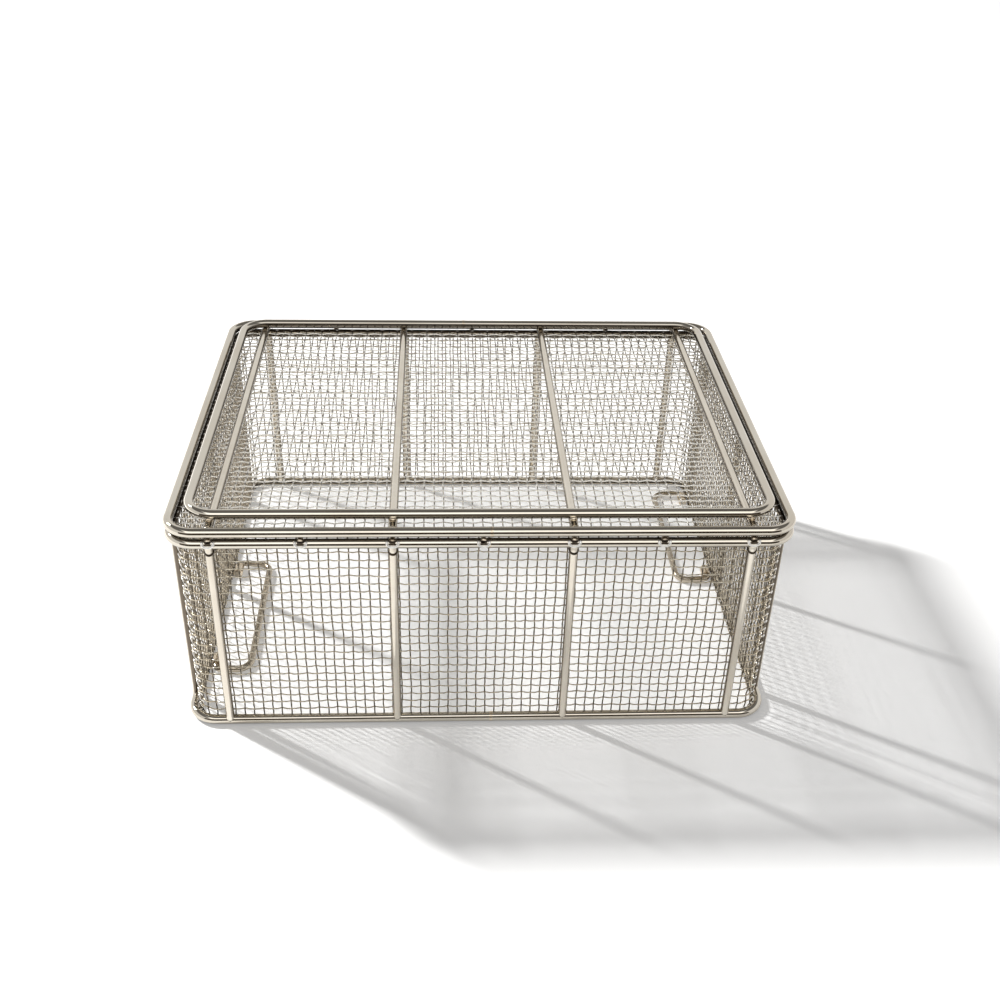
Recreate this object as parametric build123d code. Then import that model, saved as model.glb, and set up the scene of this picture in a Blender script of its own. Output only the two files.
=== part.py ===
from build123d import *
import math
import os

# Wire autoclave basket, standing mouth down on its rim ring. Millimetres, +Z up.
# Origin: middle of the footprint, on the ground under the rim ring. X runs along the long sides.

# Rings of round bar
RING_LENGTH = 325.0  # over the outside of the rim and base rings, along X
RING_WIDTH = 256.5  # over the outside of the rim and base rings, along Y
RING_BAR = 5.5  # bar diameter
RING_BEND = 14.25  # corner radius at the bar's centreline
WALL_RISE = 117.7  # rim ring's centre up to the lower base ring's centre
BASE_RING_GAP = 1.2  # clear height between the two base rings
FOOT_INSET = 9.4  # stacking foot ring inside the base rings, each side
SEAT = 0.3  # depth that a piece seats into the bar that carries it

# Upright and base rods, straight round bar
ROD = 4.7  # rod diameter
LONG_ROD_INSET = 24.5  # outside of the ring to the first upright of a long wall, and to the first base rod
LONG_ROD_COUNT = 4
SIDE_ROD_INSET = 24.6  # the same for the uprights of a short wall
SIDE_ROD_COUNT = 3

# Woven mesh, drawn as two crossing layers of flattened wires, one in five of the real ones
MESH_WIRE = 0.8  # half of the cloth's thickness
MESH_PITCH = 5.08  # one cell of the cloth
CELLS_PER_BAY = 5  # cloth cells in one open bay of the lattice
STRAND = 1.6  # width of a lattice strand
LAYER_LAP = 0.2  # each layer reaches this far past the cloth's middle, so that crossings are fused
MESH_EDGE = 2.4  # width of the base cloth's bound edge
ROD_CLEARANCE = 0.1  # cloth to the uprights, at least
LACING_ANGLE = 58.0  # where the laced seam lies round a corner, from the long wall

# Weld beads in the groove between the base rings
BEAD_RADIUS = 1.8
BEAD_INSET = 1.9  # bead's middle, inside the rings' outer face

# Drop handles of wire
HANDLE_WIRE = 4.0
HANDLE_SPAN = 105.0  # between the middles of a handle's legs
HANDLE_REACH = 19.8  # hinge axis to the middle of the grip
GRIP_BEND = 8.0  # centreline radius of the grip's corners
PIN_BEND = 3.0  # centreline radius where a leg turns into its pin
LEFT_HANDLE_FRONT = 45.0  # outside of the front wall to the left handle's front leg
RIGHT_HANDLE_BACK = 21.5  # outside of the back wall to the right handle's back leg
SLEEVE_LENGTH = 8.0
SLEEVE_WALL = 0.95
PIN_CLEARANCE = 0.05  # radial, pin in its sleeve
SLEEVE_END_PLAY = 0.4  # sleeve to the start of the pin's bend
PIN_PROUD = 0.6  # pin past the far end of its sleeve
GROUND_CLEARANCE = 0.3  # sleeves and resting grips above the ground

# Levels and lines that follow from the sizes
bar_r = RING_BAR / 2
rod_r = ROD / 2
half_length = RING_LENGTH / 2
half_width = RING_WIDTH / 2
line_x = half_length - bar_r  # ring's centreline
line_y = half_width - bar_r
rim_z = bar_r
base_lower_z = rim_z + WALL_RISE
base_upper_z = base_lower_z + RING_BAR + BASE_RING_GAP
cloth_z = (base_lower_z + base_upper_z) / 2
foot_z = base_upper_z + rod_r + bar_r - SEAT
outer_bend = RING_BEND + bar_r  # corner radius of the rings' outer face
cloth_outer = bar_r + max(bar_r - SEAT, rod_r + ROD_CLEARANCE)  # wall cloth's outer face, from the ring's outer face
cloth_inner = cloth_outer + 2 * MESH_WIRE
cloth_top = cloth_z - MESH_WIRE
cloth_bottom = rim_z - STRAND / 2
base_cloth_inset = bar_r + SEAT + 0.2 * MESH_WIRE
strand_deep = MESH_WIRE + LAYER_LAP
bay = MESH_PITCH * CELLS_PER_BAY

long_rod_span = RING_LENGTH - 2 * LONG_ROD_INSET
side_rod_span = RING_WIDTH - 2 * SIDE_ROD_INSET


def evenly(span, count):
    """Places spread evenly across a span, its two ends included."""
    return [-span / 2 + i * span / (count - 1) for i in range(count)]


long_rod_x = evenly(long_rod_span, LONG_ROD_COUNT)
side_rod_y = evenly(side_rod_span, SIDE_ROD_COUNT)


def rounded_wire(length, width, bend, z):
    """Closed rounded rectangle at height z, as a path."""
    return Pos(0, 0, z) * RectangleRounded(length, width, bend).wire()


def bar_ring(length, width, bend, z, diameter):
    """Ring of round bar; length and width are between centrelines."""
    path = rounded_wire(length, width, bend, z)
    start = Plane(origin=path @ 0, z_dir=path % 0)
    return sweep(start * Circle(diameter / 2), path=path)


def rod_between(start, end, diameter):
    """Straight round rod from one point to another."""
    axis = Vector(*end) - Vector(*start)
    foot = Plane(origin=start, z_dir=axis)
    return extrude(foot * Circle(diameter / 2), axis.length)


def band(outer_inset, inner_inset, z, height):
    """Upright band round the basket between two insets from the rings' outer face."""
    outer = RectangleRounded(
        RING_LENGTH - 2 * outer_inset, RING_WIDTH - 2 * outer_inset, outer_bend - outer_inset
    )
    inner = RectangleRounded(
        RING_LENGTH - 2 * inner_inset, RING_WIDTH - 2 * inner_inset, outer_bend - inner_inset
    )
    return extrude(Pos(0, 0, z) * (outer - inner), height)


def spread(span, step):
    """The same with the count that brings the places about one step apart."""
    return evenly(span, max(2, round(span / step)) + 1)


def cut_by(piece, *cutters):
    """Piece with every cutter taken out of it."""
    for cutter in cutters:
        piece = piece - cutter
    return piece


def save(shape, node):
    """Write one node."""
    export_step(shape, "parts/" + node + ".step")


# Rings
rim_ring = bar_ring(2 * line_x, 2 * line_y, RING_BEND, rim_z, RING_BAR)
base_ring_lower = bar_ring(2 * line_x, 2 * line_y, RING_BEND, base_lower_z, RING_BAR)
base_ring_upper = bar_ring(2 * line_x, 2 * line_y, RING_BEND, base_upper_z, RING_BAR)
foot_line_x = line_x - FOOT_INSET
foot_line_y = line_y - FOOT_INSET
foot_ring = bar_ring(2 * foot_line_x, 2 * foot_line_y, RING_BEND, foot_z, RING_BAR)

# Uprights: both ends are coped to the bars that they stand between
uprights = {}
for number, x in enumerate(long_rod_x, start=1):
    for wall, y in (("front", -line_y), ("back", line_y)):
        rod = rod_between((x, y, rim_z), (x, y, base_lower_z), ROD)
        uprights["rod_" + wall + "_" + str(number)] = cut_by(rod, rim_ring, base_ring_lower)
for number, y in enumerate(side_rod_y, start=1):
    for wall, x in (("left", -line_x), ("right", line_x)):
        rod = rod_between((x, y, rim_z), (x, y, base_lower_z), ROD)
        uprights["rod_" + wall + "_" + str(number)] = cut_by(rod, rim_ring, base_ring_lower)

# Base rods: butted between the upper base ring's bars, notched under the foot ring
base_rods = []
for x in long_rod_x:
    rod = rod_between((x, -line_y, base_upper_z), (x, line_y, base_upper_z), ROD)
    base_rods.append(cut_by(rod, base_ring_upper, foot_ring))

# Wall cloth. Along-wall strands lie inside, upright strands outside against the rings.
cloth_height = cloth_top - cloth_bottom
strand_rows = spread(cloth_height - STRAND, bay)
cloth_middle_z = (cloth_top + cloth_bottom) / 2
inner_layer = cloth_inner - strand_deep
outer_layer = cloth_outer + strand_deep


def wall_cloth(run, inset_axis, rods):
    """Flat lattice for one wall, standing at the origin and facing -Y, then placed by inset_axis."""
    strands = []
    for z in strand_rows:
        strands.append(
            Pos(0, inner_layer + strand_deep / 2, cloth_middle_z + z) * Box(run, strand_deep, STRAND)
        )
    for x in spread(run - STRAND, bay):
        strands.append(
            Pos(x, cloth_outer + strand_deep / 2, cloth_middle_z) * Box(STRAND, strand_deep, cloth_height)
        )
    lattice = strands[0].fuse(*strands[1:])
    return cut_by(inset_axis * lattice, rim_ring, base_ring_lower, *rods)


long_run = RING_LENGTH - 2 * outer_bend
short_run = RING_WIDTH - 2 * outer_bend
wall_places = {
    "front": (long_run, Pos(0, -half_width, 0)),
    "back": (long_run, Pos(0, half_width, 0) * Rot(0, 0, 180)),
    "left": (short_run, Pos(-half_length, 0, 0) * Rot(0, 0, -90)),
    "right": (short_run, Pos(half_length, 0, 0) * Rot(0, 0, 90)),
}
cloths = {}
for wall, (run, place) in wall_places.items():
    near_rods = [rod for node, rod in uprights.items() if wall in node]
    cloths["cloth_" + wall] = wall_cloth(run, place, near_rods)

# Corners: the cloth turns inside the rings' bends and its two ends are laced together
corner_x = half_length - outer_bend
corner_y = half_width - outer_bend


def corner_cloth(sign_x, sign_y):
    """Quarter turn of cloth with its laced seam, for the corner on the given sides."""
    window = Pos(sign_x * (corner_x + outer_bend / 2), sign_y * (corner_y + outer_bend / 2), cloth_middle_z)
    window = window * Box(outer_bend, outer_bend, 2 * cloth_height)
    strands = []
    for z in strand_rows:
        strands.append(band(inner_layer, cloth_inner, cloth_middle_z + z - STRAND / 2, STRAND) & window)
    turn = band(cloth_outer, cloth_inner, cloth_bottom, cloth_height) & window
    lean = math.radians(LACING_ANGLE)
    facing = math.degrees(math.atan2(sign_y * math.cos(lean), sign_x * math.sin(lean)))
    spoke = Pos(sign_x * corner_x, sign_y * corner_y, cloth_middle_z) * Rot(0, 0, facing)
    strands.append(turn & spoke * Pos(outer_bend, 0, 0) * Box(2 * outer_bend, 2 * STRAND, 2 * cloth_height))
    lattice = strands[0].fuse(*strands[1:])
    return cut_by(lattice, rim_ring, base_ring_lower)


corners = {
    "corner_front_left": corner_cloth(-1, -1),
    "corner_front_right": corner_cloth(1, -1),
    "corner_back_left": corner_cloth(-1, 1),
    "corner_back_right": corner_cloth(1, 1),
}

# Base cloth, held between the two base rings
base_edge = band(base_cloth_inset, base_cloth_inset + MESH_EDGE + STRAND, cloth_z - MESH_WIRE, 2 * MESH_WIRE)
cloth_length = RING_LENGTH - 2 * base_cloth_inset - MESH_EDGE
cloth_width = RING_WIDTH - 2 * base_cloth_inset - MESH_EDGE
base_strands = []
for x in spread(cloth_length, bay)[1:-1]:
    strand = Box(STRAND, cloth_width, strand_deep)
    base_strands.append(Pos(x, 0, cloth_z + MESH_WIRE - strand_deep / 2) * strand)
for y in spread(cloth_width, bay)[1:-1]:
    strand = Box(cloth_length, STRAND, strand_deep)
    base_strands.append(Pos(0, y, cloth_z - MESH_WIRE + strand_deep / 2) * strand)
cloth_base = cut_by(base_edge.fuse(*base_strands), base_ring_lower, base_ring_upper)

# Weld beads in the groove between the base rings, at each upright and midway between them.
# One bead is made at the origin for a wall that faces -Y: a ball less the two bars and the cloth's edge.
bead = Sphere(BEAD_RADIUS)
for z in (base_lower_z - cloth_z, base_upper_z - cloth_z):
    bead = bead - Pos(0, bar_r - BEAD_INSET, z) * Rot(0, 90, 0) * Cylinder(bar_r, 4 * BEAD_RADIUS)
edge_in_bead = Pos(0, base_cloth_inset - BEAD_INSET + MESH_EDGE / 2, 0)
bead = bead - edge_in_bead * Box(4 * BEAD_RADIUS, MESH_EDGE, 2 * MESH_WIRE)


def with_middles(places):
    """The places with the middle of each gap between them added."""
    middles = [(a + b) / 2 for a, b in zip(places, places[1:])]
    return sorted(places + middles)


beads = []
for wall, (run, place) in wall_places.items():
    rod_places = side_rod_y if wall in ("left", "right") else long_rod_x
    for along in with_middles(rod_places):
        beads.append(place * Pos(along, BEAD_INSET, cloth_z) * bead)

# Handles: a bail whose ends turn in as pins, each in a sleeve welded inside the rim
wire_r = HANDLE_WIRE / 2
sleeve_bore = wire_r + PIN_CLEARANCE
sleeve_r = sleeve_bore + SLEEVE_WALL
hinge_z = sleeve_r + GROUND_CLEARANCE
hinge_inset = cloth_inner + sleeve_r - SEAT
droop = math.degrees(math.asin((hinge_z - wire_r - GROUND_CLEARANCE) / HANDLE_REACH))
pin_end = PIN_BEND + SLEEVE_END_PLAY + SLEEVE_LENGTH + PIN_PROUD


def bail():
    """Handle with its hinge axis on Y through the origin and its grip out along +X."""
    far = HANDLE_REACH
    near_y = -HANDLE_SPAN / 2
    far_y = HANDLE_SPAN / 2
    bend = GRIP_BEND * (1 - math.sqrt(0.5))
    tuck = PIN_BEND * (1 - math.sqrt(0.5))
    path = Wire(
        [
            Line((0, near_y + pin_end), (0, near_y + PIN_BEND)),
            ThreePointArc((0, near_y + PIN_BEND), (tuck, near_y + tuck), (PIN_BEND, near_y)),
            Line((PIN_BEND, near_y), (far - GRIP_BEND, near_y)),
            ThreePointArc((far - GRIP_BEND, near_y), (far - bend, near_y + bend), (far, near_y + GRIP_BEND)),
            Line((far, near_y + GRIP_BEND), (far, far_y - GRIP_BEND)),
            ThreePointArc((far, far_y - GRIP_BEND), (far - bend, far_y - bend), (far - GRIP_BEND, far_y)),
            Line((far - GRIP_BEND, far_y), (PIN_BEND, far_y)),
            ThreePointArc((PIN_BEND, far_y), (tuck, far_y - tuck), (0, far_y - PIN_BEND)),
            Line((0, far_y - PIN_BEND), (0, far_y - pin_end)),
        ]
    )
    start = Plane(origin=path @ 0, z_dir=path % 0)
    return sweep(start * Circle(wire_r), path=path)


def sleeve(y):
    """Sleeve on the hinge axis, its middle at y."""
    tube = Cylinder(sleeve_r, SLEEVE_LENGTH) - Cylinder(sleeve_bore, 2 * SLEEVE_LENGTH)
    return Pos(0, y, 0) * Rot(90, 0, 0) * tube


sleeve_y = HANDLE_SPAN / 2 - PIN_BEND - SLEEVE_END_PLAY - SLEEVE_LENGTH / 2
handles = {}
sleeves = {}
left_middle_y = -half_width + LEFT_HANDLE_FRONT + HANDLE_SPAN / 2
right_middle_y = half_width - RIGHT_HANDLE_BACK - HANDLE_SPAN / 2
for side, sign, turn, middle_y in (("left", -1, 0, left_middle_y), ("right", 1, 180, right_middle_y)):
    hinge = Pos(sign * (half_length - hinge_inset), middle_y, hinge_z) * Rot(0, 0, turn)
    handles["handle_" + side] = hinge * Rot(0, droop, 0) * bail()
    pair = [cut_by(hinge * sleeve(y), cloths["cloth_" + side]) for y in (-sleeve_y, sleeve_y)]
    sleeves["handle_sleeves_" + side] = Compound(pair)

os.makedirs("parts", exist_ok=True)
save(rim_ring, "rim_ring")
save(base_ring_lower, "base_ring_lower")
save(base_ring_upper, "base_ring_upper")
save(foot_ring, "foot_ring")
for number, rod in enumerate(base_rods, start=1):
    save(rod, "base_rod_" + str(number))
for group in (uprights, cloths, corners, handles, sleeves):
    for node, shape in group.items():
        save(shape, node)
save(cloth_base, "cloth_base")
save(Compound(beads), "weld_beads")
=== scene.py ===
"""Looks of a wire autoclave basket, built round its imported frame. Metres, +Z up."""

import logging
import math
import random
from dataclasses import dataclass, field
from enum import Enum
from typing import Callable, Iterable, Sequence

import bmesh
import bpy
import numpy as np
from mathutils import Matrix, Vector, noise


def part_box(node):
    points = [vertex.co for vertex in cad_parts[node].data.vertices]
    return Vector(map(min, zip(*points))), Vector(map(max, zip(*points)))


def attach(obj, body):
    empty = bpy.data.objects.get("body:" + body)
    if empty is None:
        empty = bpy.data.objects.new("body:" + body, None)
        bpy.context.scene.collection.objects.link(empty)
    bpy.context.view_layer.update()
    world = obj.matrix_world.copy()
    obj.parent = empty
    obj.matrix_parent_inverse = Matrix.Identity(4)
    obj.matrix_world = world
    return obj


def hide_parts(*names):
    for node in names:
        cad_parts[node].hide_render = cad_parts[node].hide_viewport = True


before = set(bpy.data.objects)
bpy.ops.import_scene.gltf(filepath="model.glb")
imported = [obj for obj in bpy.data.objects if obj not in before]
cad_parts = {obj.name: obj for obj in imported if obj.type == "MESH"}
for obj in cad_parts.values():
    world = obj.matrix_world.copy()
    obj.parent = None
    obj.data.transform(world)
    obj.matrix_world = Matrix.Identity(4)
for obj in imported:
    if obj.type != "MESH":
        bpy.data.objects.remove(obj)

LOG = logging.getLogger("autoclave_basket")
MM = 0.001
FULL_TURN = 2 * math.pi
X_WAY = np.array((1.0, 0.0, 0.0))
Y_WAY = np.array((0.0, 1.0, 0.0))
Z_WAY = np.array((0.0, 0.0, 1.0))
SHADE = "shade"
SEED = 20417
BASKET = "basket"
# Short names for the types that recur.
Pair = tuple[float, float]
Triple = tuple[float, float, float]
Array = np.ndarray
Piece = bpy.types.Object
Socket = bpy.types.NodeSocket
Inputs = dict[str | int, object]


class Slot(Enum):
    """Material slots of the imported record."""

    RING_BAR = "ring_bar"
    ROD_BAR = "rod_bar"
    WIRE_CLOTH = "wire_cloth"
    WELD_METAL = "weld_metal"


class Wall(Enum):
    """Walls of the basket, by the way that each faces."""

    FRONT = "front"
    BACK = "back"
    LEFT = "left"
    RIGHT = "right"


class NodeSketch:
    """Adds shader nodes to a material or a world and joins them."""

    def __init__(self, owner: bpy.types.Material | bpy.types.World) -> None:
        """Start from the owner's own nodes."""
        owner.use_nodes = True
        self.tree = owner.node_tree

    def put(self, node: bpy.types.Node, values: Inputs) -> None:
        """Set a node's inputs.

        Args:
            node: the node.
            values: a number, a colour or a socket to join, for each input.
        """
        for key, value in values.items():
            if isinstance(value, Socket):
                self.tree.links.new(value, node.inputs[key])
            else:
                node.inputs[key].default_value = value

    def add(self, kind: str, values: Inputs | None = None, **settings: object) -> bpy.types.Node:
        """Add a node.

        Args:
            kind: its type, less the word ShaderNode.
            values: what its inputs take.
            settings: its own properties.

        Returns:
            The node.
        """
        node = self.tree.nodes.new("ShaderNode" + kind)
        for key, value in settings.items():
            setattr(node, key, value)
        self.put(node, values or {})
        return node

    def blend(self, share: object, a: object, b: object) -> Socket:
        """Mix colour a with colour b by a share."""
        return self.add("Mix", {"Factor": share, "A": a, "B": b}, data_type="RGBA").outputs["Result"]

    def spread(self, value: Socket, span: Pair, onto: Pair = (0.0, 1.0)) -> Socket:
        """Map a span of values onto another.

        Args:
            value: the value's socket.
            span: values that give the ends of the new span.
            onto: the new span.

        Returns:
            The mapped value's socket.
        """
        ends = {"From Min": span[0], "From Max": span[1], "To Min": onto[0], "To Max": onto[1]}
        return self.add("MapRange", {**ends, "Value": value}).outputs["Result"]

    def reckon(self, operation: str, a: object, b: object = 0.0) -> Socket:
        """Do one step of arithmetic on sockets or numbers."""
        return self.add("Math", {0: a, 1: b}, operation=operation).outputs["Value"]

    def seen(self) -> Socket:
        """Find whether the eye sees a surface: 1 outright, in metal or through glass."""
        path = self.add("LightPath").outputs
        seen = self.reckon("MAXIMUM", path["Is Camera Ray"], path["Is Glossy Ray"])
        return self.reckon("MAXIMUM", seen, path["Is Transmission Ray"])


@dataclass(frozen=True)
class SteelFinish:
    """Polished or satin steel whose colour, gloss and surface vary as worked metal does, with a painted shade
    colour mixed in where a piece's shade attribute asks for it.
    """

    name: str
    bright: Triple
    stained: Triple
    # colour of the painted shade, mixed in by each piece's shade attribute
    painted_shade_colour: Triple
    roughness: Pair
    stain_share: float = 0.5
    patch_size: float = 20 * MM
    grain_size: float = 0.5 * MM
    grain_depth: float = 0.02 * MM
    stain_span: Pair = (0.35, 0.75)
    gloss_span: Pair = (0.3, 0.7)
    streaks_in_patch: float = 4.0
    bump_strength: float = 0.6

    def material(self) -> bpy.types.Material:
        """Make the finish, or return it if it was made before.

        Returns:
            The node material.
        """
        found = bpy.data.materials.get(self.name)
        if found is not None:
            return found
        made = bpy.data.materials.new(self.name)
        sketch = NodeSketch(made)
        place = sketch.add("TexCoord").outputs["Object"]
        patches, streaks, grain = (
            sketch.add("TexNoise", {"Scale": scale, "Detail": detail, "Vector": place}).outputs["Fac"]
            for scale, detail in (
                (1.0 / self.patch_size, 3.0),
                (self.streaks_in_patch / self.patch_size, 5.0),
                (1.0 / self.grain_size, 2.0),
            )
        )
        stain = sketch.spread(patches, self.stain_span, (0.0, self.stain_share))
        colour = sketch.blend(stain, (*self.bright, 1.0), (*self.stained, 1.0))
        # Painted shade: the shade attribute mixes the colour towards the painted shade colour.
        shade = sketch.add("Attribute", attribute_name=SHADE).outputs["Fac"]
        bump = sketch.add(
            "Bump", {"Strength": self.bump_strength, "Distance": self.grain_depth, "Height": grain}
        )
        surface = {
            "Metallic": 1.0,
            "Base Color": sketch.blend(shade, colour, (*self.painted_shade_colour, 1.0)),
            "Roughness": sketch.spread(streaks, self.gloss_span, self.roughness),
            "Normal": bump.outputs["Normal"],
        }
        sketch.put(sketch.tree.nodes["Principled BSDF"], surface)
        return made


RING_POLISH = SteelFinish(
    "ring_bar_mirror_polish",
    (0.69, 0.65, 0.57),
    (0.50, 0.43, 0.34),
    (0.07, 0.055, 0.04),
    (0.015, 0.05),
    patch_size=50 * MM,
    grain_size=0.9 * MM,
    grain_depth=0.01 * MM,
)
ROD_SATIN = SteelFinish(
    "upright_rod_satin_polish",
    (0.76, 0.71, 0.62),
    (0.60, 0.53, 0.43),
    (0.1, 0.075, 0.05),
    (0.1, 0.2),
    patch_size=30 * MM,
    grain_size=0.6 * MM,
)
# Painted light and shade: the cloth's wires are all one steel, and these copies of it are darker for the
# uprights and the side walls and lighter for the front's level wires and the base.
WARP_WIRE = SteelFinish(
    "upright_cloth_wire",
    (0.54, 0.47, 0.36),
    (0.30, 0.24, 0.16),
    (0.035, 0.026, 0.018),
    (0.16, 0.32),
    stain_share=0.6,
)
WEFT_WIRE = SteelFinish(
    "level_cloth_wire", (0.82, 0.76, 0.63), (0.52, 0.45, 0.34), (0.10, 0.075, 0.05), (0.16, 0.28)
)
BASE_WIRE = SteelFinish(
    "base_cloth_wire",
    (0.99, 0.97, 0.92),
    (0.78, 0.73, 0.63),
    (0.06, 0.045, 0.03),
    (0.17, 0.28),
    stain_share=0.4,
)
SIDE_WIRE = SteelFinish(
    "side_cloth_wire",
    (0.76, 0.68, 0.54),
    (0.48, 0.40, 0.28),
    (0.04, 0.03, 0.02),
    (0.18, 0.30),
    stain_share=0.6,
)
LACING_WIRE = SteelFinish(
    "bright_lacing_wire",
    (0.97, 0.95, 0.91),
    (0.80, 0.75, 0.67),
    (0.2, 0.16, 0.12),
    (0.14, 0.26),
    stain_share=0.3,
)
WELD_NUGGET = SteelFinish(
    "electropolished_weld",
    (0.8, 0.71, 0.57),
    (0.46, 0.35, 0.23),
    (0.03, 0.022, 0.016),
    (0.12, 0.26),
    stain_share=0.8,
    patch_size=5 * MM,
    grain_depth=0.05 * MM,
)
# Painted highlight: near-white rims round the spot welds on the lower base ring.
WELD_FRINGE = SteelFinish(
    "bright_weld_fringe",
    (0.98, 0.97, 0.94),
    (0.90, 0.87, 0.82),
    (0.30, 0.24, 0.18),
    (0.38, 0.48),
    stain_share=0.4,
    patch_size=5 * MM,
    grain_depth=0.03 * MM,
)
# Painted shade: near-black, for the dark lines under the uprights' welds and the hem in the groove between
# the base rings.
WELD_SHADE = SteelFinish(
    "heat_tinted_crease",
    (0.06, 0.045, 0.03),
    (0.03, 0.022, 0.015),
    (0.03, 0.02, 0.015),
    (0.25, 0.45),
    stain_share=0.8,
    patch_size=4 * MM,
    grain_depth=0.03 * MM,
)
HANDLE_SATIN = SteelFinish(
    "handle_wire_satin",
    (0.54, 0.48, 0.39),
    (0.36, 0.30, 0.22),
    (0.1, 0.08, 0.06),
    (0.1, 0.22),
    stain_share=0.45,
    patch_size=30 * MM,
    grain_size=0.6 * MM,
)


def put_in_scene(name: str, data: bpy.types.ID) -> Piece:
    """Make an object of a mesh, a lamp or a camera and put it in the scene."""
    made = bpy.data.objects.new(name, data)
    bpy.context.scene.collection.objects.link(made)
    return made


def mesh_of(name: str, gathered: bmesh.types.BMesh) -> bpy.types.Mesh:
    """Turn gathered faces into a mesh, and free them."""
    mesh = bpy.data.meshes.new(name)
    gathered.to_mesh(mesh)
    gathered.free()
    return mesh


def unit_rows(rows: Array) -> Array:
    """Scale each row to unit length."""
    return rows / np.linalg.norm(rows, axis=1)[:, None]


def round_turn(sides: int) -> Array:
    """Angles of the sides of a round section."""
    return np.arange(sides) * (FULL_TURN / sides)


def middle_of(node: str) -> Vector:
    """Middle of a CAD node."""
    low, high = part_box(node)
    return (low + high) / 2


def level_of(node: str) -> float:
    """Height of a CAD node's middle."""
    low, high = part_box(node)
    return (low.z + high.z) / 2


def thickness_of(node: str) -> float:
    """Height of a CAD node from its lowest point to its highest."""
    low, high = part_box(node)
    return high.z - low.z


def nodes_named(*starts: str) -> list[str]:
    """CAD nodes whose names start so, in order."""
    return [node for node in sorted(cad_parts) if node.startswith(starts)]


def wall_ways(along_x: bool, way: float) -> tuple[Array, Array]:
    """Unit vectors along a wall and out of it.

    Args:
        along_x: whether it is a long wall.
        way: 1 or -1, for the side that it faces.

    Returns:
        The two vectors.
    """
    return (X_WAY, way * Y_WAY) if along_x else (Y_WAY, way * X_WAY)


class TubeMesh:
    """Gathers round tubes of wire or bar into one mesh."""

    def __init__(self) -> None:
        """Start with nothing in the mesh."""
        self.points: list[Array] = []
        self.faces: list[list[int]] = []
        self.finishes: list[int] = []
        self.shades: list[Array] = []
        self.count = 0

    def add(
        self,
        centres: Array,
        across: Array,
        up: Array,
        radius: float | Array,
        sides: int,
        finish: int = 0,
        closed: bool = False,
        shade: float | Array = 0.0,
    ) -> None:
        """Add one tube.

        Args:
            centres: points of the tube's line, one row each.
            across: vectors across the line, one for each point or one for all.
            up: vectors that complete the section.
            radius: the tube's radius, one or one for each point.
            sides: sides of the section.
            finish: which of the object's materials it takes.
            closed: whether the line runs round to its start.
            shade: how much painted shade it takes, for all, or by point and side.
        """
        length = len(centres)
        across = np.broadcast_to(across, (length, 3))[:, None, :]
        up = np.broadcast_to(up, (length, 3))[:, None, :]
        radii = np.broadcast_to(radius, (length,))[:, None, None]
        turn = round_turn(sides)[None, :, None]
        spokes = np.cos(turn) * across + np.sin(turn) * up
        self.points.append((centres[:, None, :] + radii * spokes).reshape(-1, 3))
        self.shades.append(np.broadcast_to(shade, (length, sides)).reshape(-1))
        side = np.arange(sides)
        following = (side + 1) % sides
        steps = np.arange(length if closed else length - 1)[:, None]
        here, there = steps * sides, (steps + 1) % length * sides
        corners = [here + side, here + following, there + following, there + side]
        quads = np.stack(corners, axis=-1).reshape(-1, 4)
        self.faces.extend((quads + self.count).tolist())
        self.finishes.extend([finish] * len(quads))
        if not closed:
            last = self.count + (length - 1) * sides
            self.faces.append((self.count + side[::-1]).tolist())
            self.faces.append((last + side).tolist())
            self.finishes.extend([finish] * 2)
        self.count += length * sides

    def make(self, name: str, finishes: Sequence[SteelFinish]) -> Piece:
        """Turn what was gathered into an object.

        Args:
            name: the object's name.
            finishes: its materials, in the order of the tubes' finish numbers.

        Returns:
            The new object.
        """
        mesh = bpy.data.meshes.new(name)
        mesh.from_pydata(np.concatenate(self.points).tolist(), [], self.faces)
        mesh.polygons.foreach_set("material_index", self.finishes)
        mesh.polygons.foreach_set("use_smooth", [len(face) == 4 for face in self.faces])
        for finish in finishes:
            mesh.materials.append(finish.material())
        shade = mesh.attributes.new(SHADE, "FLOAT", "POINT")
        shade.data.foreach_set("value", np.concatenate(self.shades).astype(np.float32))
        mesh.validate()
        mesh.update()
        return put_in_scene(name, mesh)


def settle(piece: Piece, nodes: Iterable[str] = ()) -> Piece:
    """Put a piece on the basket's body and the CAD nodes that it stands for.

    Args:
        piece: the finished object.
        nodes: CAD nodes that it replaces.

    Returns:
        The same object.
    """
    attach(piece, BASKET)
    names = list(nodes)
    if names:
        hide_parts(*names)
    faces = len(piece.data.polygons)
    LOG.info("%s: %d faces on %s, for %s", piece.name, faces, BASKET, names or "itself")
    return piece


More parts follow.
